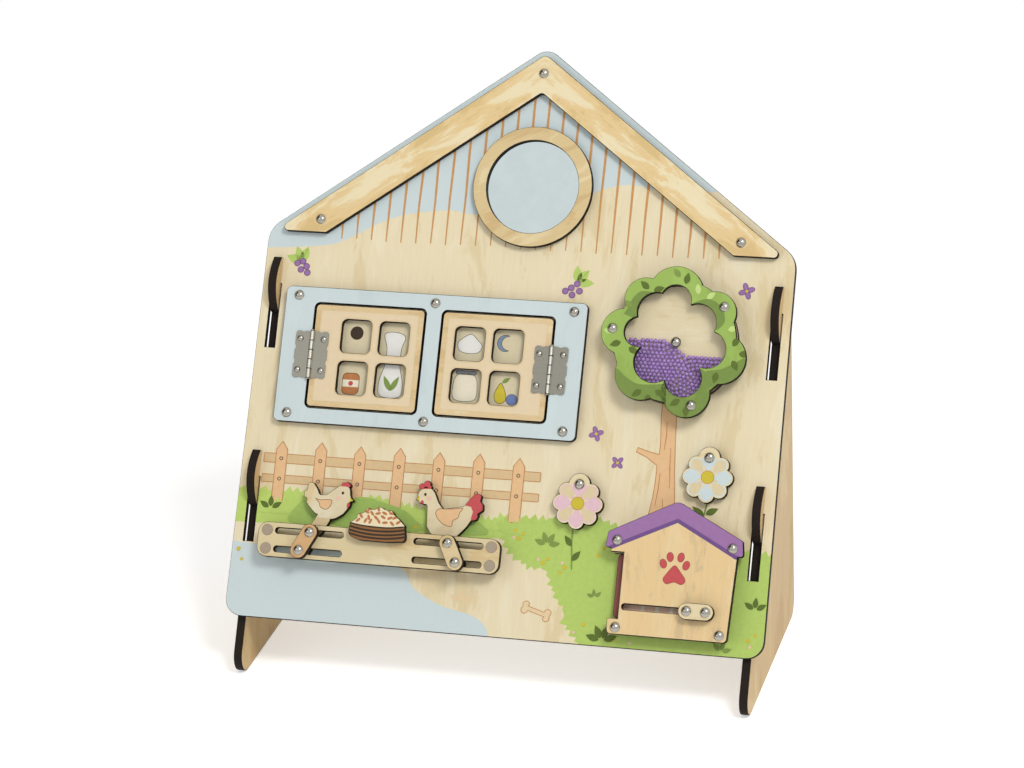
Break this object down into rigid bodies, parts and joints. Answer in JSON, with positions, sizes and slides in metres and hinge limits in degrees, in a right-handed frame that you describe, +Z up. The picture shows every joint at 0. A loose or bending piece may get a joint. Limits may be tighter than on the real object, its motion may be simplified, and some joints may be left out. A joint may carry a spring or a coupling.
{
  "type": "wooden busy board",
  "caption": "House-shaped wooden busy board on two side plates: opening shutters, spinning bead wheel, swinging daisies, sliding hens, slide-out tile and a mirror.",
  "frame": {"origin": "centre of the overall box on the floor plane that the side plates stand on", "axes": "+Z up, -Y towards the viewer of the play face, +X to that viewer's right; the panel leans back towards +Y by 31.7 degrees"},
  "size_m": [0.3848, 0.2328, 0.3949],
  "materials": {
    "bare_ply": "satin plywood with laser-burnt dark edges",
    "panel_print": "printed plywood",
    "warm_ply": "satin plywood with dark edges",
    "blue_ply": "pale blue printed plywood",
    "green_ply": "green printed plywood",
    "kennel_ply": "printed plywood",
    "maroon_ply": "maroon printed plywood",
    "bowl_ply": "brown printed plywood",
    "bright_steel": "bright nickel-plated",
    "hinge_steel": "dull plated",
    "grey_plate": "matt grey",
    "mirror": "mirror film",
    "clear_plastic": "clear acrylic",
    "purple_beads": "glossy"
  },
  "bodies": {
    "board": {"front_panel": "panel_print", "left_side_plate": "bare_ply", "right_side_plate": "bare_ply", "roof_trim": "warm_ply", "roof_trim_screws": "bright_steel", "mirror_ring": "warm_ply", "mirror_disc": "mirror", "window_frame": "blue_ply", "window_frame_screws": "bright_steel", "left_frame_leaf": "hinge_steel", "right_frame_leaf": "hinge_steel", "left_hinge_pin": "hinge_steel", "right_hinge_pin": "hinge_steel", "left_frame_leaf_screws": "bright_steel", "right_frame_leaf_screws": "bright_steel", "wheel_washer": "bright_steel", "wheel_sleeve": "bright_steel", "wheel_bolt": "bright_steel", "pivot_nuts": "bright_steel", "daisy_washers": "bright_steel", "daisy_bolts": "bright_steel", "slider_plate": "bare_ply", "slider_spacers": "bare_ply", "slider_fasteners": "grey_plate", "feed_bowl": "bowl_ply", "kennel_front": "kennel_ply", "kennel_spacer": "bare_ply", "kennel_screws": "bright_steel"},
    "left_shutter": {"left_door": "bare_ply", "left_door_leaf": "hinge_steel", "left_door_leaf_screws": "bright_steel"},
    "right_shutter": {"right_door": "bare_ply", "right_door_leaf": "hinge_steel", "right_door_leaf_screws": "bright_steel"},
    "bead_wheel": {"wheel_back": "bare_ply", "wheel_chamber": "bare_ply", "wheel_window": "clear_plastic", "wheel_ring": "green_ply", "wheel_screws": "bright_steel"},
    "bead_fill": {"beads": "purple_beads"},
    "left_flower": {"left_daisy": "bare_ply"},
    "right_flower": {"right_daisy": "bare_ply"},
    "left_bird": {"left_hen": "bare_ply", "left_link": "warm_ply", "left_link_bolts": "bright_steel"},
    "right_bird": {"right_hen": "bare_ply", "right_link": "warm_ply", "right_link_bolts": "bright_steel"},
    "tile": {"kennel_tile": "maroon_ply", "tile_handle": "bare_ply", "handle_bolts": "bright_steel"}
  },
  "joints": [
    {"name": "left_shutter_hinge", "type": "hinge", "parent": "board", "child": "left_shutter", "pos_m": [-0.1482, -0.01285, 0.20504], "axis": [0, -0.5255, -0.8508], "range_deg": [0, 160]},
    {"name": "right_shutter_hinge", "type": "hinge", "parent": "board", "child": "right_shutter", "pos_m": [0.0259, -0.01285, 0.20504], "axis": [0, 0.5255, 0.8508], "range_deg": [0, 160]},
    {"name": "wheel_spin", "type": "hinge", "parent": "board", "child": "bead_wheel", "pos_m": [0.1135, 0.0021, 0.22514], "axis": [0, -0.8508, 0.5255], "continuous": true},
    {"name": "bead_roll", "type": "hinge", "parent": "bead_wheel", "child": "bead_fill", "pos_m": [0.1135, 0.00167, 0.2254], "axis": [0, -0.8508, 0.5255], "continuous": true},
    {"name": "left_daisy_swing", "type": "hinge", "parent": "board", "child": "left_flower", "pos_m": [0.0551, -0.05071, 0.13716], "axis": [0, -0.8508, 0.5255], "range_deg": [-140, 140]},
    {"name": "right_daisy_swing", "type": "hinge", "parent": "board", "child": "right_flower", "pos_m": [0.144, -0.03773, 0.15818], "axis": [0, -0.8508, 0.5255], "continuous": true},
    {"name": "left_hen_slide", "type": "slide", "parent": "board", "child": "left_bird", "axis": [1, 0, 0], "range_m": [-0.0176, 0.0212]},
    {"name": "right_hen_slide", "type": "slide", "parent": "board", "child": "right_bird", "axis": [1, 0, 0], "range_m": [-0.0233, 0.0155]},
    {"name": "tile_slide", "type": "slide", "parent": "board", "child": "tile", "axis": [-1, 0, 0], "range_m": [0, 0.0439]}
  ],
  "couplings": [
    {"joint": "bead_roll", "follows": "wheel_spin", "ratio": -1}
  ]
}
